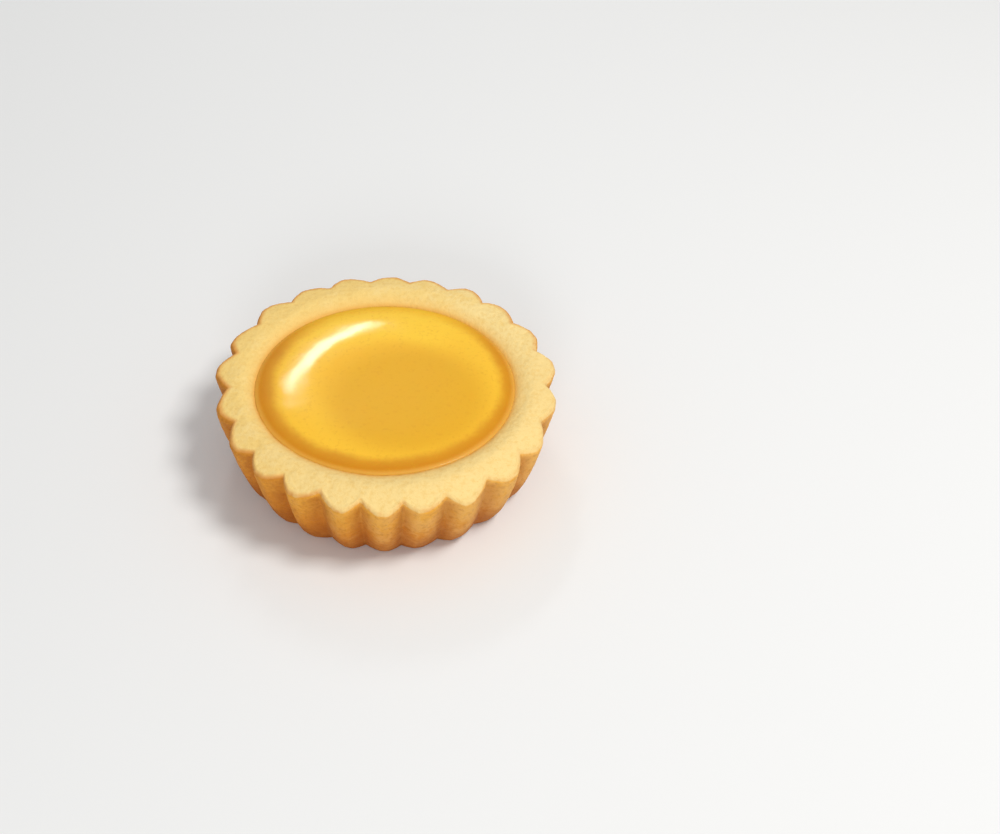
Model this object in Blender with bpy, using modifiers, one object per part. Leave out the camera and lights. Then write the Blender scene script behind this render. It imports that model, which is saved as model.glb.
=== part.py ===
"""Egg tart: a fluted shortcrust case with a thick rolled rim, baked round a set egg custard.

Units are metres, +Z is up, and the origin is the centre of the flat base. Each piece is a
section turned about +Z with a Screw modifier. The outside of the case is then pressed into
the flutes of its tin, each point by as much as its place in the section follows them.
"""

import math
import random

import bmesh
import bpy

MM = 0.001
CLOSE = 0.01 * MM  # two points nearer than this are one

# The case, over the tips of its flutes
RIM_RADIUS = 37.5 * MM
BASE_RADIUS = 30.8 * MM
HEIGHT = 19.5 * MM  # from the base to the top of the rim
WALL_BULGE = 0.55  # power of the wall's curve from base to rim: 1 is a straight cone

# The rolled rim: highest at its crown, it falls away outwards and dips in to the custard
CROWN_RADIUS = 31.8 * MM
OUTER_FALL = 0.9 * MM
OUTER_FALL_POWER = 1.4
FRONT_SAG = 1.7 * MM  # how much further it falls where the soft dough sagged over the tin
FRONT_SAG_AT = math.radians(-68.0)
LIP_DIP = 1.3 * MM
EDGE_ROUNDING = 1.1 * MM  # how far in the rim's outer edge starts to turn down
EDGE_DROP = 1.4 * MM  # and how far down it has turned into the wall
FOOT_ROUNDING = 0.7 * MM

# The hollow that holds the custard
CUSTARD_RADIUS = 27.5 * MM
FLOOR_RADIUS = 24.5 * MM
FLOOR_THICKNESS = 4.2 * MM
FLOOR_CORNER = 1.8 * MM

# The custard's skin: a rounded edge, a raised shoulder ring and a shallow sunk middle
SKIN_GAP = 0.3 * MM  # clearance to the case, face to face
SHOULDER_RADIUS = 16.0 * MM
SHOULDER_RISE = 1.45 * MM
SHOULDER_POWER = 1.6  # how the skin falls from the shoulder to the edge: 2 is an ellipse
MIDDLE_SINK = 0.2 * MM

# The flutes, which are rounded lobes with V-shaped troughs between them
FLUTES = 22
RIM_FLUTE_DEPTH = 2.5 * MM
BASE_FLUTE_DEPTH = 1.5 * MM
CREASE_SOFTNESS = 0.06  # share of a lobe's half width, next to the crease, that is rounded over
SIDE_STRAIGHTNESS = 0.6  # how far the lobes' sides are drawn straight: 0 is plain round lobes
LOBE_FLAT = 0.22  # share of a lobe's half width, next to its tip, that the straight sides leave flat

# Unevenness of a case pressed into its tin by hand
HOLLOW_OVAL = 0.02  # share by which the hollow is longer from side to side
HOLLOW_ASIDE = (-0.3 * MM, -0.55 * MM)  # how far it sits off the middle of the case
LOBE_SPREAD = 0.13  # share by which single lobes are shallower or fuller
LOBE_LEAN = 0.12  # share of its width by which a lobe's tip is pushed to one side
FLUTE_TURN = math.radians(-1.4)
SIDE_DRIFT = math.radians(2.0)  # the flutes crowd together on one side
SIDE_DRIFT_AT = math.radians(175.0)
PITCH_DRIFT = math.radians(3.4)  # and on two opposite sides
PITCH_DRIFT_AT = math.radians(-8.5)
OVAL = 0.45 * MM
OVAL_AT = math.radians(104.0)
RIM_WAVE = 0.25 * MM
RIM_WAVES = 3
UNEVEN_SEED = 22

# How finely the solids are cut
STEPS_PER_FLUTE = 8
CUSTARD_STEPS = 88
FLOOR_CORNER_ROWS = 3
RIM_ROWS = 7
EDGE_ROWS = 4
WALL_ROWS = 5
WALL_ROW_CROWDING = 1.6  # rows crowd towards the foot, where the wall curves most
FOOT_ROW = (0.7, 0.3)  # the foot's middle point, as shares of its rounding outwards and up
SKIN_ROWS = 11
FLAT_RING = 0.6  # where the flat base and floor are cut once more, as a share of their radius

PASTRY_COLOUR = (0.84, 0.58, 0.22, 1.0)
CUSTARD_COLOUR = (0.87, 0.47, 0.05, 1.0)


def uneven_lobes():
    """How full each lobe is, as a share of the flute depth, and where across it its tip lies."""
    draw = random.Random(UNEVEN_SEED)
    fullness = [1.0 + LOBE_SPREAD * draw.uniform(-1.0, 1.0) for _ in range(FLUTES)]
    return fullness, [0.5 + LOBE_LEAN * draw.uniform(-1.0, 1.0) for _ in range(FLUTES)]


FULLNESS, TIP_PLACE = uneven_lobes()
PITCH = 2.0 * math.pi / FLUTES
HALF_LOBE = RIM_RADIUS * PITCH / 2.0
LOBE_ARC = (HALF_LOBE**2 + RIM_FLUTE_DEPTH**2) / (2.0 * RIM_FLUTE_DEPTH)
TURN_RADIUS = RIM_RADIUS - EDGE_ROUNDING


def rim_top(radius, fall=OUTER_FALL):
    """Height of the rolled rim's top at a radius, before its outer edge is rounded."""
    if radius > CROWN_RADIUS:
        out = (radius - CROWN_RADIUS) / (RIM_RADIUS - CROWN_RADIUS)
        return HEIGHT - fall * out**OUTER_FALL_POWER
    dip = (CROWN_RADIUS - radius) / (CROWN_RADIUS - CUSTARD_RADIUS)
    return HEIGHT - LIP_DIP * dip**2


TOP_EDGE = rim_top(TURN_RADIUS) - EDGE_DROP


def wall_radius(height):
    """Radius over the lobes' tips at a height on the outer wall."""
    share = min(max(height / TOP_EDGE, 0.0), 1.0)
    return BASE_RADIUS + (RIM_RADIUS - BASE_RADIUS) * share**WALL_BULGE


def hollow_radius(height):
    """Radius of the hollow's wall, a plain cone from its floor to the custard's edge."""
    share = (height - FLOOR_THICKNESS) / (HEIGHT - LIP_DIP - FLOOR_THICKNESS)
    return FLOOR_RADIUS + (CUSTARD_RADIUS - FLOOR_RADIUS) * share


def skin_rise(radius, edge_radius):
    """Height of the custard's skin above its edge."""
    if radius < SHOULDER_RADIUS:
        inward = 1.0 - radius / SHOULDER_RADIUS
        return SHOULDER_RISE - MIDDLE_SINK * (0.5 - 0.5 * math.cos(math.pi * inward))
    out = (radius - SHOULDER_RADIUS) / (edge_radius - SHOULDER_RADIUS)
    return SHOULDER_RISE * math.sqrt(max(0.0, 1.0 - out**SHOULDER_POWER))


def corner(centre, radii, start, end, count):
    """Points of an elliptical arc, both ends included."""
    turns = [start + (end - start) * i / (count - 1) for i in range(count)]
    return [(centre[0] + radii[0] * math.cos(t), centre[1] + radii[1] * math.sin(t)) for t in turns]


def hollow_section(inset):
    """The floor and wall of the hollow, from the axis outwards, set in by the given gap."""
    floor = FLOOR_THICKNESS + inset
    wall_foot = hollow_radius(floor + FLOOR_CORNER) - inset
    centre = (wall_foot - FLOOR_CORNER, floor + FLOOR_CORNER)
    bend = corner(centre, (FLOOR_CORNER, FLOOR_CORNER), -math.pi / 2, 0.0, FLOOR_CORNER_ROWS)
    return [(0.0, floor), (centre[0] * FLAT_RING, floor)] + bend


def rim_share(radius):
    """How far a point of the rim follows the flutes: not at all up to the crown, then more."""
    return min(max((radius - CROWN_RADIUS) / (TURN_RADIUS - CROWN_RADIUS), 0.0), 1.0)


def case_section():
    """(radius, height, share) round the case's section: share is how far a point follows the flutes."""
    section = [(r, z, 0.0) for r, z in hollow_section(0.0)]
    # the rim, from the custard's edge over the crown to where the outer edge turns down
    for i in range(RIM_ROWS):
        radius = CUSTARD_RADIUS + (TURN_RADIUS - CUSTARD_RADIUS) * i / (RIM_ROWS - 1)
        section.append((radius, rim_top(radius), rim_share(radius)))
    rounding = (EDGE_ROUNDING, EDGE_DROP)
    edge = corner((TURN_RADIUS, TOP_EDGE), rounding, math.pi / 2, 0.0, EDGE_ROWS)
    section += [(radius, height, 1.0) for radius, height in edge[1:]]
    # down the outer wall
    for i in range(1, WALL_ROWS + 1):
        up = (1.0 - i / WALL_ROWS) ** WALL_ROW_CROWDING
        height = FOOT_ROUNDING + (TOP_EDGE - FOOT_ROUNDING) * up
        section.append((wall_radius(height), height, 1.0))
    # the foot and the flat base
    turned_in = wall_radius(FOOT_ROUNDING) - FOOT_ROUNDING
    section.append((turned_in + FOOT_ROUNDING * FOOT_ROW[0], FOOT_ROUNDING * FOOT_ROW[1], 1.0))
    section.append((turned_in, 0.0, 1.0))
    section.append((turned_in * FLAT_RING, 0.0, 0.0))
    section.append((0.0, 0.0, 0.0))
    return section


def custard_section():
    """(radius, height, share) round the custard's section, its skin first."""
    edge_radius = CUSTARD_RADIUS - SKIN_GAP
    section = []
    for i in range(SKIN_ROWS):
        radius = edge_radius * math.sin(math.pi / 2 * i / (SKIN_ROWS - 1))
        section.append((radius, HEIGHT - LIP_DIP + skin_rise(radius, edge_radius), 0.0))
    lining = hollow_section(SKIN_GAP)
    return section + [(r, z, 0.0) for r, z in reversed(lining)]


def turned(name, section, steps, material, collection):
    """A section turned about +Z. Its vertex group holds each point's share of the flutes."""
    outline = bpy.data.meshes.new(name + "_section")
    points = [(radius, 0.0, height) for radius, height, _ in section]
    outline.from_pydata(points, [(i, i + 1) for i in range(len(points) - 1)], [])
    piece = bpy.data.objects.new(name + "_section", outline)
    collection.objects.link(piece)
    follows = piece.vertex_groups.new(name="flutes")
    for index, (_, _, share) in enumerate(section):
        follows.add([index], share, "REPLACE")
    screw = piece.modifiers.new("turn", "SCREW")
    screw.steps = screw.render_steps = steps
    screw.use_merge_vertices = True
    screw.merge_threshold = CLOSE
    graph = bpy.context.evaluated_depsgraph_get()
    mesh = bpy.data.meshes.new_from_object(piece.evaluated_get(graph), depsgraph=graph)
    bpy.data.objects.remove(piece)
    mesh.name = name
    mesh.materials.clear()
    mesh.materials.append(material)
    mesh.shade_smooth()
    solid = bpy.data.objects.new(name, mesh)
    collection.objects.link(solid)
    return solid


def pressed_in(angle):
    """How far in a flute lies at an angle, as a share of its depth: 0 at a full lobe's tip."""
    place = (angle / PITCH) % FLUTES
    lobe = int(place) % FLUTES
    past_tip = place - int(place) - TIP_PLACE[lobe]
    side = 1.0 - TIP_PLACE[lobe] if past_tip > 0.0 else TIP_PLACE[lobe]
    across = min(abs(past_tip) / side, 1.0)  # 0 at the tip, 1 in the crease
    rounded = (LOBE_ARC - math.sqrt(LOBE_ARC**2 - (across * HALF_LOBE) ** 2)) / RIM_FLUTE_DEPTH
    straight = max(0.0, (across - LOBE_FLAT) / (1.0 - LOBE_FLAT))
    near = max(0.0, (across - 1.0 + CREASE_SOFTNESS) / CREASE_SOFTNESS)
    pressed = rounded + (straight - rounded) * SIDE_STRAIGHTNESS - CREASE_SOFTNESS * near**2
    return pressed + (1.0 - pressed) * (1.0 - FULLNESS[lobe])


def drifted(angle):
    """Where a point at an angle ends up once the flutes crowd together and spread out."""
    side = SIDE_DRIFT * math.cos(angle - SIDE_DRIFT_AT)
    return angle + FLUTE_TURN + side + PITCH_DRIFT * math.sin(2.0 * (angle - PITCH_DRIFT_AT))


def outer_fall(turn):
    """How far the rim's top falls outwards at a place round it, with its sag on one side."""
    return OUTER_FALL + FRONT_SAG * max(0.0, math.cos(turn - FRONT_SAG_AT)) ** 2


def press_flutes(solid):
    """Presses the turned case into its tin's flutes and makes it as uneven as handwork.

    The rim's top stays smooth: its height goes by how far out a point ends up, so the flutes
    cut it off in scallops. The wall below is drawn up or down to meet that scalloped edge.
    """
    mesh = bmesh.new()
    mesh.from_mesh(solid.data)
    shares = mesh.verts.layers.deform.verify()
    for vertex in mesh.verts:
        share = vertex[shares].get(0, 0.0)
        if share <= 0.0:
            continue
        radius = math.hypot(vertex.co.x, vertex.co.y)
        height = vertex.co.z
        angle = math.atan2(vertex.co.y, vertex.co.x)
        turn = drifted(angle)
        up = min(height / TOP_EDGE, 1.0)
        pressed = pressed_in(angle)
        depth = BASE_FLUTE_DEPTH + (RIM_FLUTE_DEPTH - BASE_FLUTE_DEPTH) * up
        bent = OVAL * math.cos(2.0 * (turn - OVAL_AT))
        on_top = height > TOP_EDGE and radius < TURN_RADIUS + CLOSE
        radius += share * (bent - depth * pressed)
        if on_top:
            height = rim_top(radius, outer_fall(turn))
        else:
            edge = TURN_RADIUS + bent - RIM_FLUTE_DEPTH * pressed
            height += (rim_top(edge, outer_fall(turn)) - rim_top(TURN_RADIUS)) * up
        height += RIM_WAVE * math.sin(RIM_WAVES * turn) * share * up
        vertex.co = (radius * math.cos(turn), radius * math.sin(turn), height)
    mesh.to_mesh(solid.data)
    mesh.free()
    solid.vertex_groups.clear()


def bend_hollow(solid):
    """Makes the hollow, and the custard in it, a little oval and sets it a little off the middle."""
    for vertex in solid.data.vertices:
        radius = math.hypot(vertex.co.x, vertex.co.y)
        if vertex.co.z < FLOOR_THICKNESS - CLOSE or radius > CROWN_RADIUS:
            continue
        outside = (radius - CUSTARD_RADIUS) / (CROWN_RADIUS - CUSTARD_RADIUS)
        share = 1.0 - max(outside, 0.0)
        stretch = 1.0 + HOLLOW_OVAL * share * math.cos(2.0 * math.atan2(vertex.co.y, vertex.co.x))
        vertex.co.x = vertex.co.x * stretch + HOLLOW_ASIDE[0] * share
        vertex.co.y = vertex.co.y * stretch + HOLLOW_ASIDE[1] * share


def material(name, colour, roughness):
    made = bpy.data.materials.new(name)
    made.use_nodes = True
    shader = made.node_tree.nodes["Principled BSDF"]
    shader.inputs["Base Color"].default_value = colour
    shader.inputs["Roughness"].default_value = roughness
    shader.inputs["Metallic"].default_value = 0.0
    return made


def make_crust(collection):
    pastry = material("pastry", PASTRY_COLOUR, 0.75)
    crust = turned("crust", case_section(), FLUTES * STEPS_PER_FLUTE, pastry, collection)
    press_flutes(crust)
    bend_hollow(crust)


def make_custard(collection):
    skin = material("custard", CUSTARD_COLOUR, 0.25)
    custard = turned("custard", custard_section(), CUSTARD_STEPS, skin, collection)
    bend_hollow(custard)


def main():
    for old in list(bpy.data.objects):
        bpy.data.objects.remove(old)
    tart = bpy.data.collections.new("egg_tart")
    bpy.context.scene.collection.children.link(tart)
    make_crust(tart)
    make_custard(tart)


main()
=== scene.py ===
import math
import random

import bpy
import numpy as np
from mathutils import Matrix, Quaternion, Vector, noise


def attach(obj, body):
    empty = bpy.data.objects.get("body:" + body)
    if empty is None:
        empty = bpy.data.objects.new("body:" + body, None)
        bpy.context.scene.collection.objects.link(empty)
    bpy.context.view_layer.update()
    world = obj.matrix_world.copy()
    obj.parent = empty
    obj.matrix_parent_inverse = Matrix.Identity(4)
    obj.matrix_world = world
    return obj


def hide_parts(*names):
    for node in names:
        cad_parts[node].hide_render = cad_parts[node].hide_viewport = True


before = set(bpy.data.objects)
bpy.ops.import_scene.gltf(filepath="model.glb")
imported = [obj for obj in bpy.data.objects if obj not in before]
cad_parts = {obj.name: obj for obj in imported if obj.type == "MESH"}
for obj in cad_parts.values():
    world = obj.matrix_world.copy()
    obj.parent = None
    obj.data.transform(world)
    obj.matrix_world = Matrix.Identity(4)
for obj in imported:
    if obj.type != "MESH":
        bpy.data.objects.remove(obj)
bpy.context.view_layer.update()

# ---------------------------------------------------------------------------------------------
# Crust. Shortcrust pastry, pressed by hand into a fluted tin and baked: a solid case of one
# dough. Its rim is a thick soft roll that stays pale, painted paler on the side that the lamps
# light most. The wall browns where it lay against the hot tin and is darker towards the foot;
# its creases and the side away from the lamps are painted darker as painted shade.
# ---------------------------------------------------------------------------------------------

MM = 0.001

# the case, over the tips of its flutes
rim_radius = 37.5 * MM
base_radius = 30.8 * MM
case_height = 19.5 * MM
wall_bulge = 0.55  # power of the wall's curve: 1 is a straight cone
crown_radius = 31.8 * MM
outer_fall = 0.9 * MM
outer_fall_power = 1.4
front_sag, front_sag_at = 1.7 * MM, math.radians(-68.0)
lip_dip = 1.3 * MM
edge_rounding = 1.1 * MM
edge_drop = 1.4 * MM
foot_rounding = 0.7 * MM
turn_radius = rim_radius - edge_rounding

# the hollow under the custard
hollow_rim_radius = 27.5 * MM
hollow_floor_radius = 24.5 * MM
floor_thickness = 4.2 * MM
hollow_oval = 0.02  # share by which the hollow is longer from side to side
hollow_aside = (-0.3 * MM, -0.55 * MM)  # how far it sits off the middle of the case

# the flutes: rounded lobes with V-shaped troughs between them, uneven as handwork is
flutes = 22
rim_flute_depth = 2.5 * MM
base_flute_depth = 1.5 * MM
crease_softness = 0.06
side_straightness = 0.6  # how far the lobes' sides are drawn straight: 0 is plain round lobes
lobe_flat = 0.22  # share of a lobe's half width that the straight sides leave flat at its tip
lobe_spread = 0.13
lobe_lean = 0.12  # share of its width by which a lobe's tip is pushed to one side
uneven_seed = 22
flute_turn = math.radians(-1.4)
side_drift, side_drift_at = math.radians(2.0), math.radians(175.0)
pitch_drift, pitch_drift_at = math.radians(3.4), math.radians(-8.5)
oval, oval_at = 0.45 * MM, math.radians(104.0)
rim_wave, rim_waves = 0.25 * MM, 3
lit_side_at = math.radians(-40.0)  # the side that the lamps light most: painted light makes it paler, and painted shade darkens the side away from it

# how finely the crust is modelled
steps_per_flute = 32
rim_rows, edge_rows, wall_rows, foot_rows = 36, 14, 56, 4

pitch = 2.0 * math.pi / flutes
half_lobe = rim_radius * pitch / 2.0
lobe_arc = (half_lobe**2 + rim_flute_depth**2) / (2.0 * rim_flute_depth)
lobe_draw = random.Random(uneven_seed)
fullness = np.array([1.0 + lobe_spread * lobe_draw.uniform(-1.0, 1.0) for _ in range(flutes)])
tip_place = np.array([0.5 + lobe_lean * lobe_draw.uniform(-1.0, 1.0) for _ in range(flutes)])


def smooth_step(low, high, value):
    """0 at low, 1 at high, and an even S between them."""
    share = np.clip((value - low) / (high - low), 0.0, 1.0)
    return share * share * (3.0 - 2.0 * share)


def field(points, size, offset=0.0, detail=1):
    """Soft noise of about -1 to 1 at each point, with features of the given size."""
    shift = Vector((offset, 1.7 * offset, -0.6 * offset))
    if detail == 1:
        return np.array([noise.noise(Vector(p) / size + shift) for p in points])
    return np.array([noise.fractal(Vector(p) / size + shift, 0.9, 2.1, detail) for p in points])


def rim_top(radius, fall):
    """Height of the rolled rim's top at a radius, before its outer edge is rounded."""
    out = np.maximum(radius - crown_radius, 0.0) / (rim_radius - crown_radius)
    inward = np.maximum(crown_radius - radius, 0.0) / (crown_radius - hollow_rim_radius)
    return case_height - fall * out**outer_fall_power - lip_dip * inward**2


top_edge = float(rim_top(turn_radius, outer_fall)) - edge_drop


def crust_section():
    """Rows of (radius, height, share of the flutes) round the case's section: out along the
    hollow's floor, up its wall, over the rim, down the wall and in under the base."""
    floor_rows = [(hollow_floor_radius * 0.6, floor_thickness)]
    floor_rows += [(hollow_floor_radius - 1.2 * MM, floor_thickness)]
    floor_rows += [(hollow_floor_radius - 0.1 * MM, floor_thickness + 1.2 * MM)]
    lip_height = case_height - lip_dip
    for up in (0.2, 0.4, 0.6, 0.8):
        radius = hollow_floor_radius + (hollow_rim_radius - hollow_floor_radius) * up
        floor_rows.append((radius, floor_thickness + (lip_height - floor_thickness) * up))
    section = [(radius, height, 0.0) for radius, height in floor_rows]
    for radius in np.linspace(hollow_rim_radius, turn_radius, rim_rows):
        share = max((radius - crown_radius) / (turn_radius - crown_radius), 0.0)
        section.append((radius, float(rim_top(radius, outer_fall)), share))
    for turn in np.linspace(math.pi / 2, 0.0, edge_rows)[1:]:
        out, up = edge_rounding * math.cos(turn), edge_drop * math.sin(turn)
        section.append((turn_radius + out, top_edge + up, 1.0))
    for row in range(1, wall_rows + 1):
        height = foot_rounding + (top_edge - foot_rounding) * (1.0 - row / wall_rows) ** 1.15
        up = height / top_edge
        section.append((base_radius + (rim_radius - base_radius) * up**wall_bulge, height, 1.0))
    wall_foot = section[-1][0]
    for turn in np.linspace(0.0, math.pi / 2, foot_rows + 1)[1:]:
        inward, down = foot_rounding * (1.0 - math.cos(turn)), foot_rounding * math.sin(turn)
        section.append((wall_foot - inward, foot_rounding - down, 1.0))
    for ring_and_glow, share in ((0.93, 0.8), (0.8, 0.4), (0.5, 0.0)):
        section.append(((wall_foot - foot_rounding) * ring_and_glow, 0.0, share))
    return np.array(section), len(floor_rows)


def crust_grid():
    """The case as rows of points round its section, with what its pastry needs to know of each."""
    section, rim_start = crust_section()
    steps = flutes * steps_per_flute
    angle = np.arange(steps) * 2.0 * math.pi / steps
    place = np.arange(steps) / steps_per_flute
    number = np.floor(place).astype(int) % flutes
    past_tip = place - np.floor(place) - tip_place[number]
    side = np.where(past_tip > 0.0, 1.0 - tip_place[number], tip_place[number])
    across = np.minimum(np.abs(past_tip) / side, 1.0)  # 0 at a lobe's tip, 1 in a crease
    rounded = (lobe_arc - np.sqrt(lobe_arc**2 - (across * half_lobe) ** 2)) / rim_flute_depth
    straight = np.maximum(across - lobe_flat, 0.0) / (1.0 - lobe_flat)
    near_crease = np.clip((across - 1.0 + crease_softness) / crease_softness, 0.0, 1.0)
    pressed = rounded + (straight - rounded) * side_straightness - crease_softness * near_crease**2
    pressed = pressed + (1.0 - pressed) * (1.0 - fullness[number])
    crowded = side_drift * np.cos(angle - side_drift_at)
    turn = angle + flute_turn + crowded + pitch_drift * np.sin(2.0 * (angle - pitch_drift_at))

    radius, height, share = (section[:, k : k + 1] for k in range(3))
    up = np.minimum(height / top_edge, 1.0)
    depth = base_flute_depth + (rim_flute_depth - base_flute_depth) * up
    bent = oval * np.cos(2.0 * (turn - oval_at))
    fall = outer_fall + front_sag * np.maximum(np.cos(turn - front_sag_at), 0.0) ** 2
    out = radius + share * (bent - depth * pressed)
    # the rim's top stays smooth, so the flutes cut it off in scallops, and the wall is drawn up
    # or down to meet that edge
    rows = np.arange(len(section))[:, None]
    on_top = (rows >= rim_start) & (rows < rim_start + rim_rows) & (share > 0.0)
    edge = turn_radius + bent - rim_flute_depth * pressed
    lift = (rim_top(edge, fall) - rim_top(turn_radius, outer_fall)) * up * (share > 0.0)
    tall = np.where(on_top, rim_top(out, fall), height + lift)
    tall = tall + rim_wave * np.sin(rim_waves * turn) * share * up
    points = np.stack([out * np.cos(turn), out * np.sin(turn), tall], axis=-1)
    outside = np.clip((out - hollow_rim_radius) / (crown_radius - hollow_rim_radius), 0.0, 1.0)
    in_hollow = (1.0 - outside) * (rows < rim_start + rim_rows)
    points[..., :2] *= (1.0 + hollow_oval * in_hollow * np.cos(2.0 * turn))[..., None]
    points[..., :2] += in_hollow[..., None] * np.array(hollow_aside)
    # how far each point lies down its column from where the rim's rounded edge ends
    lengths = np.linalg.norm(np.diff(points, axis=0), axis=-1)
    down = np.concatenate([np.zeros((1, steps)), np.cumsum(lengths, axis=0)])
    down = down - down[rim_start + rim_rows + edge_rows - 2]
    return points, across * share, out, down, rim_start


def grid_normals(points):
    """Outward normals of a grid of points whose rows run round the axis."""
    along = np.gradient(points, axis=0)
    around = np.roll(points, -1, axis=1) - np.roll(points, 1, axis=1)
    normals = np.cross(along, around)
    return normals / np.maximum(np.linalg.norm(normals, axis=-1, keepdims=True), 1e-12)


def closed_mesh(name, points, masks):
    """A closed smooth mesh from a grid of points, with its first and last rows drawn together.
    Each mask is kept on it as a named attribute."""
    rows, steps = points.shape[:2]
    ends = np.array([points[0].mean(axis=0), points[-1].mean(axis=0)])
    vertices = np.concatenate([points.reshape(-1, 3), ends])
    here = np.arange(steps)
    after = (here + 1) % steps
    faces = []
    for row in range(rows - 1):
        near, far = row * steps, (row + 1) * steps
        faces += np.stack([near + here, far + here, far + after, near + after], axis=1).tolist()
    top, bottom, last = rows * steps, rows * steps + 1, (rows - 1) * steps
    faces += np.stack([np.full(steps, top), here, after], axis=1).tolist()
    faces += np.stack([np.full(steps, bottom), last + after, last + here], axis=1).tolist()
    mesh = bpy.data.meshes.new(name)
    mesh.from_pydata(vertices.tolist(), [], faces)
    for mask_name, values in masks.items():
        whole = np.concatenate([values.reshape(-1), [values[0].mean(), values[-1].mean()]])
        kept = mesh.attributes.new(mask_name, "FLOAT", "POINT")
        kept.data.foreach_set("value", whole.astype(np.float32))
    mesh.shade_smooth()
    mesh.update()
    piece = bpy.data.objects.new(name, mesh)
    bpy.context.scene.collection.objects.link(piece)
    return piece


def make_crust():
    points, across, radius, down, rim_start = crust_grid()
    rows, steps = points.shape[:2]
    flat = points.reshape(-1, 3)
    height = points[..., 2]

    # handwork and crumb: broad dents, soft lumps, and the fine crumble of the baked dough
    broad = field(flat, 9.0 * MM, 3.0).reshape(rows, steps)
    lumps = field(flat, 2.6 * MM, 11.0).reshape(rows, steps)
    crumb = field(flat, 0.8 * MM, 23.0, 3).reshape(rows, steps)
    loose = np.zeros((rows, 1))
    loose[rim_start:] = 1.0
    loose = loose * smooth_step(0.0, 1.2 * MM, height)
    on_rim = smooth_step(0.0, -1.5 * MM, down)
    swell = 0.14 * broad + (0.06 + 0.04 * on_rim) * lumps + (0.045 + 0.025 * on_rim) * crumb
    points = points + grid_normals(points) * (swell * loose * MM)[..., None]
    points[..., 2] = np.maximum(points[..., 2], 0.0)

    # how far a point lies below the line where the pale roll ends and the browned wall starts
    ragged = (0.22 * field(flat, 3.5 * MM, 31.0).reshape(rows, steps) + 0.12 * lumps) * loose
    turn = np.arctan2(points[..., 1], points[..., 0])
    sagged = smooth_step(-0.3, 0.5, np.cos(turn - front_sag_at))
    below = down / MM + 1.3 - 0.75 * sagged + ragged
    masks = {
        "below_line": below,
        "sagged": sagged,
        "lit_side": 0.5 + 0.5 * np.cos(turn - lit_side_at),
        "across": across,
        "from_custard": (radius - hollow_rim_radius) / MM,
        "crumb": crumb * loose,
    }
    return closed_mesh("crust_baked", points, masks)


def linear(red, green, blue):
    """A linear colour from 0-255 sRGB values."""
    shares = [v / 255.0 for v in (red, green, blue)]
    return tuple(v / 12.92 if v <= 0.04045 else ((v + 0.055) / 1.055) ** 2.4 for v in shares) + (1.0,)


def soft_patches():
    """A group of uneven patches, as baking leaves them: broad ones with finer ones over them."""
    group = bpy.data.node_groups.new("soft patches", "ShaderNodeTree")
    group.interface.new_socket("Size per metre", in_out="INPUT", socket_type="NodeSocketFloat")
    group.interface.new_socket("Fine share", in_out="INPUT", socket_type="NodeSocketFloat")
    group.interface.new_socket("Patches", in_out="OUTPUT", socket_type="NodeSocketFloat")
    nodes, links = group.nodes, group.links
    given, out = nodes.new("NodeGroupInput"), nodes.new("NodeGroupOutput")
    place = nodes.new("ShaderNodeTexCoord")
    broad, fine = nodes.new("ShaderNodeTexNoise"), nodes.new("ShaderNodeTexNoise")
    broad.inputs["Detail"].default_value = 2.0
    fine.inputs["Detail"].default_value = 4.0
    finer = nodes.new("ShaderNodeMath")
    finer.operation = "MULTIPLY"
    finer.inputs[1].default_value = 5.0
    mixed = nodes.new("ShaderNodeMix")
    links.new(place.outputs["Object"], broad.inputs["Vector"])
    links.new(place.outputs["Object"], fine.inputs["Vector"])
    links.new(given.outputs["Size per metre"], broad.inputs["Scale"])
    links.new(given.outputs["Size per metre"], finer.inputs[0])
    links.new(finer.outputs[0], fine.inputs["Scale"])
    links.new(given.outputs["Fine share"], mixed.inputs[0])
    links.new(broad.outputs["Fac"], mixed.inputs[2])
    links.new(fine.outputs["Fac"], mixed.inputs[3])
    links.new(mixed.outputs[0], out.inputs["Patches"])
    return group


def fine_grain():
    """A group of fine even grain, the size of crumb or of set egg, to tint or to raise."""
    group = bpy.data.node_groups.new("fine grain", "ShaderNodeTree")
    group.interface.new_socket("Size per metre", in_out="INPUT", socket_type="NodeSocketFloat")
    group.interface.new_socket("Roughness of grain", in_out="INPUT", socket_type="NodeSocketFloat")
    group.interface.new_socket("Grain", in_out="OUTPUT", socket_type="NodeSocketFloat")
    nodes, links = group.nodes, group.links
    given, out = nodes.new("NodeGroupInput"), nodes.new("NodeGroupOutput")
    place, speckle = nodes.new("ShaderNodeTexCoord"), nodes.new("ShaderNodeTexNoise")
    speckle.inputs["Detail"].default_value = 4.0
    links.new(place.outputs["Object"], speckle.inputs["Vector"])
    links.new(given.outputs["Size per metre"], speckle.inputs["Scale"])
    links.new(given.outputs["Roughness of grain"], speckle.inputs["Roughness"])
    links.new(speckle.outputs["Fac"], out.inputs["Grain"])
    return group


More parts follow.
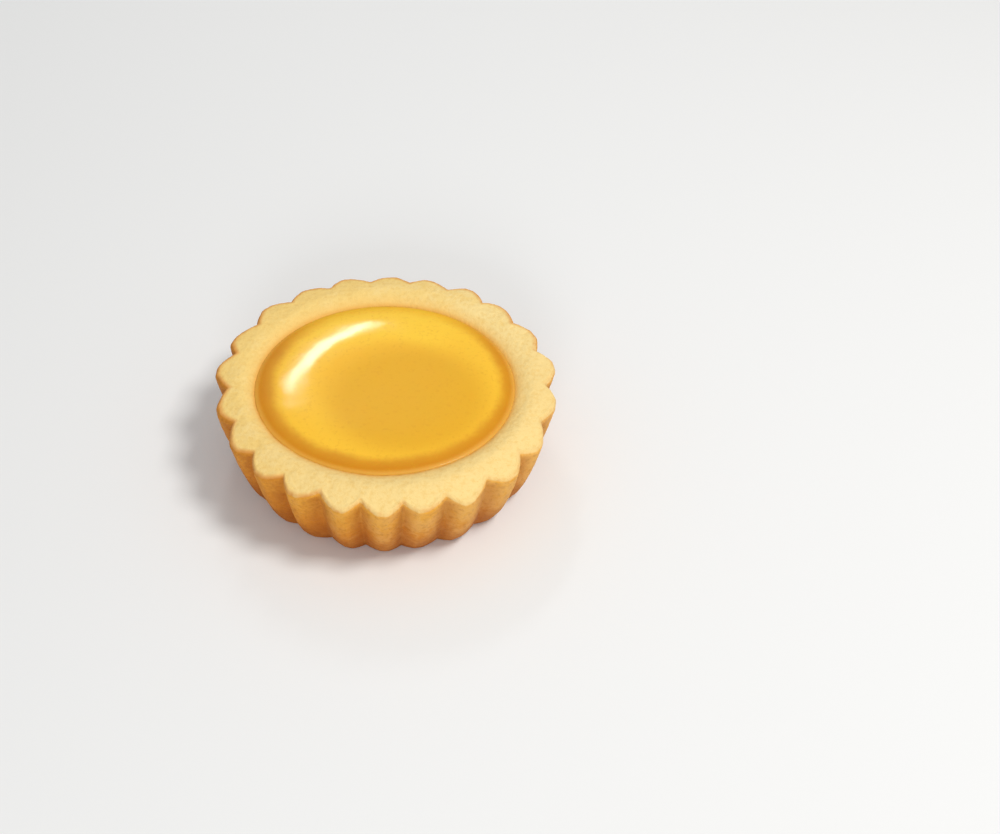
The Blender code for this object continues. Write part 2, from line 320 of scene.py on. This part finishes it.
class Finish:
    """A material under way: short calls for the few kinds of node that food needs."""

    def __init__(self, name):
        self.material = bpy.data.materials.new(name)
        self.material.use_nodes = True
        self.nodes, self.links = self.material.node_tree.nodes, self.material.node_tree.links
        self.shader = self.nodes["Principled BSDF"]

    def mask(self, name):
        node = self.nodes.new("ShaderNodeAttribute")
        node.attribute_name = name
        return node.outputs["Fac"]

    def group(self, group, size, character):
        """A node group whose features have the given size, with the value it takes besides."""
        node = self.nodes.new("ShaderNodeGroup")
        node.node_tree = group
        node.inputs[0].default_value = 1.0 / size
        node.inputs[1].default_value = character
        return node.outputs[0]

    def between(self, value, low, high, start=0.0, end=1.0):
        node = self.nodes.new("ShaderNodeMapRange")
        node.interpolation_type = "SMOOTHSTEP"
        self.links.new(value, node.inputs["Value"])
        for socket, number in zip(("From Min", "From Max", "To Min", "To Max"), (low, high, start, end)):
            node.inputs[socket].default_value = number
        return node.outputs["Result"]

    def math(self, operation, first, second):
        node = self.nodes.new("ShaderNodeMath")
        node.operation = operation
        for socket, value in zip(node.inputs, (first, second)):
            if isinstance(value, (int, float)):
                socket.default_value = value
            else:
                self.links.new(value, socket)
        return node.outputs[0]

    def mix(self, share, first, second, blend="MIX"):
        node = self.nodes.new("ShaderNodeMix")
        node.data_type = "RGBA"
        node.blend_type = blend
        for socket, value in zip((node.inputs[0], node.inputs[6], node.inputs[7]), (share, first, second)):
            if isinstance(value, (int, float, tuple)):
                socket.default_value = value
            else:
                self.links.new(value, socket)
        return node.outputs[2]

    def bump(self, height, strength, distance, under=None):
        node = self.nodes.new("ShaderNodeBump")
        node.inputs["Strength"].default_value = strength
        node.inputs["Distance"].default_value = distance
        self.links.new(height, node.inputs["Height"])
        if under is not None:
            self.links.new(under, node.inputs["Normal"])
        return node.outputs["Normal"]


def pastry_finish():
    """Baked shortcrust: matt and crumbly, straw on the rim, golden brown on the wall."""
    made = Finish("baked pastry")
    straw, lit_straw = linear(240, 207, 126), linear(242, 216, 148)
    tan, toast, soaked = linear(226, 184, 100), linear(212, 138, 58), linear(226, 170, 78)
    golden, brown, dark = linear(233, 168, 60), linear(208, 130, 34), linear(162, 86, 18)
    lit_wall, warm = linear(240, 194, 116), linear(236, 188, 102)
    below, across = made.mask("below_line"), made.mask("across")
    broad = made.group(patches, 5.0 * MM, 0.4)
    fine = made.group(patches, 1.1 * MM, 0.6)

    # painted light: the rim and wall are painted paler on the side that the lamps light most and darker on the far
    # side, with broad random baking patches added
    lit_side = made.math("ADD", made.mask("lit_side"), made.between(broad, 0.3, 0.7, -0.25, 0.25))
    top = made.mix(made.between(lit_side, 0.0, 0.7), straw, lit_straw)
    # painted shade on the front of the rim, where it sags and tilts towards the lamps
    top = made.mix(made.math("MULTIPLY", made.mask("sagged"), 0.2), top, tan)
    top = made.mix(made.between(fine, 0.48, 0.68, 0.0, 0.45), top, tan)
    from_custard = made.mask("from_custard")
    top = made.mix(made.between(from_custard, 3.2, 0.0, 0.0, 0.6), top, warm)
    top = made.mix(made.between(from_custard, 1.2, 0.1, 0.0, 0.8), top, soaked)

    wall = made.mix(made.between(below, 1.0, 12.0), golden, brown)
    # painted light and shade on the wall: paler on the side that the lamps light, browner and darker on the side
    # away from them
    wall = made.mix(made.between(lit_side, 0.6, 1.2, 0.0, 0.6), wall, lit_wall)
    wall = made.mix(made.between(lit_side, 0.8, 0.3, 0.0, 0.55), wall, brown)
    wall = made.mix(made.between(lit_side, 0.6, 0.2, 0.0, 0.3), wall, dark)
    foot = made.math("MULTIPLY", made.between(below, 9.0, 15.0), made.between(below, 21.0, 18.5))
    wall = made.mix(made.math("MULTIPLY", foot, 0.75), wall, dark)
    # painted shade down in the creases between the flutes
    crease_shade = made.math("MULTIPLY", made.between(across, 0.25, 0.85), made.between(below, 0.2, 2.0))
    wall = made.mix(made.math("MULTIPLY", crease_shade, 0.42), wall, dark)
    wall = made.mix(made.between(broad, 0.42, 0.70, 0.0, 0.35), wall, brown)
    wall = made.mix(made.between(fine, 0.54, 0.76, 0.0, 0.45), wall, dark)
    crumb = made.mask("crumb")
    top = made.mix(made.between(crumb, 0.0, -0.6, 0.0, 0.32), top, tan)
    wall = made.mix(made.between(crumb, 0.0, -0.6, 0.0, 0.24), wall, dark)

    # a thin toasted line along the rim's outer edge: real browning, painted strongest on the side away from the
    # lamps as painted shade
    toast_and_shade = made.math("MULTIPLY", made.between(below, -1.5, 0.0), made.between(lit_side, 0.5, 0.95, 0.85, 0.2))
    edged = made.mix(toast_and_shade, top, toast)
    colour = made.mix(made.between(below, -0.15, 0.25), edged, wall)
    made.links.new(colour, made.shader.inputs["Base Color"])
    rough = made.between(fine, 0.3, 0.7, 0.66, 0.84)
    made.links.new(rough, made.shader.inputs["Roughness"])
    crumbly = made.bump(made.group(grain, 0.45 * MM, 0.5), 0.7, 0.2 * MM)
    lumpy = made.bump(made.group(grain, 1.3 * MM, 0.5), 0.45, 0.3 * MM, crumbly)
    made.links.new(lumpy, made.shader.inputs["Normal"])
    made.shader.inputs["Specular IOR Level"].default_value = 0.3
    return made.material


patches, grain = soft_patches(), fine_grain()
crust = make_crust()
crust.data.materials.append(pastry_finish())
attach(crust, "root")
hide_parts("crust")

# ---------------------------------------------------------------------------------------------
# Custard. Egg, milk and sugar, poured in liquid and set in the oven: it fills the case up to the
# lip, with a shoulder that puffed up round a slightly sunk middle. The skin is smooth and wet
# looking, bright yellow, and cooks to amber where it thins against the hot crust. Its colour also
# holds painted light: a brighter shoulder glow beside the window's crescent, painted shade that
# dulls the middle, and painted shade that deepens the amber edge at the front and the sides.
# ---------------------------------------------------------------------------------------------

custard_radius = 27.62 * MM
shoulder_radius = 16.0 * MM
shoulder_rise = 1.45 * MM
shoulder_power = 1.6  # how the skin falls from the shoulder to the edge: 2 is an ellipse
middle_sink = 0.2 * MM
custard_steps = 360
skin_rows = 90


def make_custard():
    edge_height = case_height - lip_dip
    section = []
    for row in range(1, skin_rows + 1):
        radius = custard_radius * math.sin(math.pi / 2 * row / skin_rows)
        if radius < shoulder_radius:
            inward = 1.0 - radius / shoulder_radius
            rise = shoulder_rise - middle_sink * (0.5 - 0.5 * math.cos(math.pi * inward))
        else:
            out = (radius - shoulder_radius) / (custard_radius - shoulder_radius)
            rise = shoulder_rise * math.sqrt(max(0.0, 1.0 - out**shoulder_power))
        section.append((radius, edge_height + rise))
    under = floor_thickness + 0.3 * MM
    section.append((hollow_rim_radius - 0.8 * MM, edge_height - 2.0 * MM))
    section.append((hollow_floor_radius - 0.4 * MM, under + 1.5 * MM))
    section.append((hollow_floor_radius - 1.8 * MM, under))
    section.append((hollow_floor_radius * 0.5, under))
    section = np.array(section)
    turn = np.arange(custard_steps) * 2.0 * math.pi / custard_steps
    stretch = 1.0 + hollow_oval * np.cos(2.0 * turn)
    radius, height = section[:, 0:1] * stretch, np.repeat(section[:, 1:2], custard_steps, axis=1)
    points = np.stack([radius * np.cos(turn), radius * np.sin(turn), height], axis=-1)

    # the skin's slight unevenness, which makes its gloss run unevenly
    flat = points.reshape(-1, 3)
    broad = field(flat, 11.0 * MM, 5.0).reshape(height.shape)
    ripple = field(flat, 3.2 * MM, 17.0).reshape(height.shape)
    share = np.repeat(section[:, 0:1] / custard_radius, custard_steps, axis=1)
    free = np.zeros(height.shape)
    free[:skin_rows] = 1.0 - smooth_step(0.93, 1.0, share[:skin_rows])
    points[..., 2] += free * (0.05 * broad + 0.012 * ripple) * MM
    points[..., 2][skin_rows:] = height[skin_rows:]

    # how far a point lies into the duller middle, which sits off the centre: partly the duller skin of the sunk
    # middle, partly painted shade
    aside_x, aside_y = 0.18 * custard_radius, -0.20 * custard_radius
    wide, deep = 0.62 * custard_radius, 0.60 * custard_radius
    middle = np.hypot((points[..., 0] - aside_x) / wide, (points[..., 1] - aside_y) / deep)
    points[..., :2] += np.array(hollow_aside)
    # the amber edge and its deep band are painted strongest at the front and the sides and weakest at the back, and
    # the bright shoulder is weakened at the front: painted shade over the edge's real browning
    cook_and_shade = 0.25 + 0.75 * smooth_step(-0.95, -0.35, -np.sin(np.broadcast_to(turn, height.shape)))
    amber_band_out = share + 0.02 * np.cos(turn - math.radians(215.0))
    masks = {"out": share, "middle": middle, "cook_and_shade": cook_and_shade, "amber_band_out": amber_band_out}
    return closed_mesh("custard_set", points, masks)


def custard_finish():
    """Set custard: a wet-looking skin over egg yellow, amber at its edge, duller in the middle."""
    made = Finish("set custard")
    yolk, bright_yolk_and_glow = linear(243, 186, 40), linear(250, 202, 50)
    dull, amber, deep = linear(229, 172, 28), linear(212, 145, 24), linear(202, 130, 22)
    soaked = linear(224, 168, 72)
    out, middle = made.mask("out"), made.mask("middle")
    broad = made.group(patches, 8.0 * MM, 0.3)
    fine = made.group(patches, 1.6 * MM, 0.5)
    uneven = made.math("ADD", out, made.between(broad, 0.2, 0.8, -0.02, 0.02))
    amber_band_out = made.math("ADD", made.mask("amber_band_out"), made.between(broad, 0.2, 0.8, -0.02, 0.02))
    cook_and_shade = made.mask("cook_and_shade")

    # the bright shoulder ring: partly the egg's colour, partly painted glow beside the window's crescent highlight,
    # weakened at the front as painted shade
    ring_and_glow = made.math("MULTIPLY", made.between(uneven, 0.40, 0.62), made.between(cook_and_shade, 0.25, 1.0, 1.0, 0.4))
    colour = made.mix(ring_and_glow, yolk, bright_yolk_and_glow)
    # the duller middle: partly the sunk middle's skin, partly painted shade
    colour = made.mix(made.between(middle, 1.25, 0.75, 0.0, 1.0), colour, dull)
    # the amber and deep edge bands: real browning where the custard thins, painted stronger at the front and the
    # sides as painted shade
    colour = made.mix(made.math("MULTIPLY", made.between(amber_band_out, 0.82, 0.92), cook_and_shade), colour, amber)
    colour = made.mix(made.math("MULTIPLY", made.between(amber_band_out, 0.90, 0.97, 0.0, 0.8), cook_and_shade), colour, deep)
    colour = made.mix(made.between(fine, 0.52, 0.78, 0.0, 0.3), colour, dull)
    freckled = made.between(made.group(grain, 0.8 * MM, 0.55), 0.53, 0.72, 0.0, 0.25)
    colour = made.mix(freckled, colour, amber)
    colour = made.mix(made.math("MULTIPLY", made.between(out, 0.95, 1.0, 0.0, 0.85), cook_and_shade), colour, soaked)
    made.links.new(colour, made.shader.inputs["Base Color"])
    made.links.new(made.between(fine, 0.3, 0.7, 0.42, 0.52), made.shader.inputs["Roughness"])
    rippled = made.bump(made.group(grain, 2.2 * MM, 0.5), 0.12, 0.1 * MM)
    made.links.new(rippled, made.shader.inputs["Normal"])
    wet = made.between(out, 0.84, 0.97, 0.7, 0.08)
    made.links.new(wet, made.shader.inputs["Coat Weight"])
    made.shader.inputs["Coat Roughness"].default_value = 0.12
    made.shader.inputs["Specular IOR Level"].default_value = 0.12
    made.shader.inputs["Subsurface Weight"].default_value = 0.12
    made.shader.inputs["Subsurface Scale"].default_value = 0.003
    return made.material


custard = make_custard()
custard.data.materials.append(custard_finish())
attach(custard, "root")
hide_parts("custard")

# ---------------------------------------------------------------------------------------------
# Table. A plain pale board under the tart, with a smooth, even, matt finish, large enough to
# fill the view from every side.
# ---------------------------------------------------------------------------------------------

half_side = 4.0
board_mesh = bpy.data.meshes.new("table")
corners = [(-half_side, -half_side, 0.0), (half_side, -half_side, 0.0)]
corners += [(half_side, half_side, 0.0), (-half_side, half_side, 0.0)]
board_mesh.from_pydata(corners, [], [(0, 1, 2, 3)])
board = bpy.data.objects.new("table", board_mesh)
bpy.context.scene.collection.objects.link(board)
board_finish = Finish("pale board")
board_finish.shader.inputs["Base Color"].default_value = linear(233, 235, 237)
board_finish.shader.inputs["Roughness"].default_value = 0.8
board.data.materials.append(board_finish.material)

# ---------------------------------------------------------------------------------------------
# Light. A soft white room, a broad warm lamp high on the right, a second one low in front, and
# a narrow window at the back that lays a bright crescent on the custard's shoulder.
# ---------------------------------------------------------------------------------------------

room = bpy.data.worlds.new("studio")
room.use_nodes = True
room.node_tree.nodes["Background"].inputs["Color"].default_value = (1.0, 0.985, 0.965, 1.0)
room.node_tree.nodes["Background"].inputs["Strength"].default_value = 0.42
bpy.context.scene.world = room
bpy.context.scene.view_settings.view_transform = "Standard"


def lamp(name, turn, elevation, distance, size, power, roll=0.0, aim=(0.0, 0.0, 0.015)):
    """A rectangular soft lamp that stands round the tart and faces it."""
    data = bpy.data.lights.new(name, "AREA")
    data.shape = "RECTANGLE"
    data.size, data.size_y = size
    data.energy = power
    turn, elevation = math.radians(turn), math.radians(elevation)
    away = Vector((math.cos(turn) * math.cos(elevation), math.sin(turn) * math.cos(elevation), math.sin(elevation)))
    made = bpy.data.objects.new(name, data)
    bpy.context.scene.collection.objects.link(made)
    made.location = Vector(aim) + away * distance
    made.rotation_mode = "QUATERNION"
    made.rotation_quaternion = (-away).to_track_quat("-Z", "Y") @ Quaternion((0, 0, 1), math.radians(roll))
    return made


key = lamp("key", -16.0, 60.0, 0.8, (0.24, 0.24), 3.75)
key.data.color = (1.0, 0.97, 0.92)
fill = lamp("fill", -95.0, 22.0, 0.9, (0.3, 0.25), 2.4)
fill.visible_glossy = False
window = lamp("window", 97.5, 37.6, 0.6, (0.165, 0.032), 0.3, roll=41.0)
window.data.shape = "ELLIPSE"

# ---------------------------------------------------------------------------------------------
# Camera. It looks down on the tart from the front, with the tart left of and below the middle.
# ---------------------------------------------------------------------------------------------

look_down = math.radians(44.5)
camera_distance = 0.361
camera_roll = math.radians(-1.2)
tart_aside = Vector((-0.07, -0.0172, -1.0))  # where the tart's base stands in the view

camera_data = bpy.data.cameras.new("camera")
camera_data.lens = 57.6
camera_data.clip_start = 0.01
camera = bpy.data.objects.new("camera", camera_data)
bpy.context.scene.collection.objects.link(camera)
towards = Vector((0.0, -math.cos(look_down), math.sin(look_down)))
camera.location = towards * camera_distance
camera.rotation_mode = "QUATERNION"
rolled = (-towards).to_track_quat("-Z", "Y") @ Quaternion((0, 0, 1), camera_roll)
camera.rotation_quaternion = rolled @ tart_aside.rotation_difference(Vector((0, 0, -1)))
bpy.context.scene.camera = camera
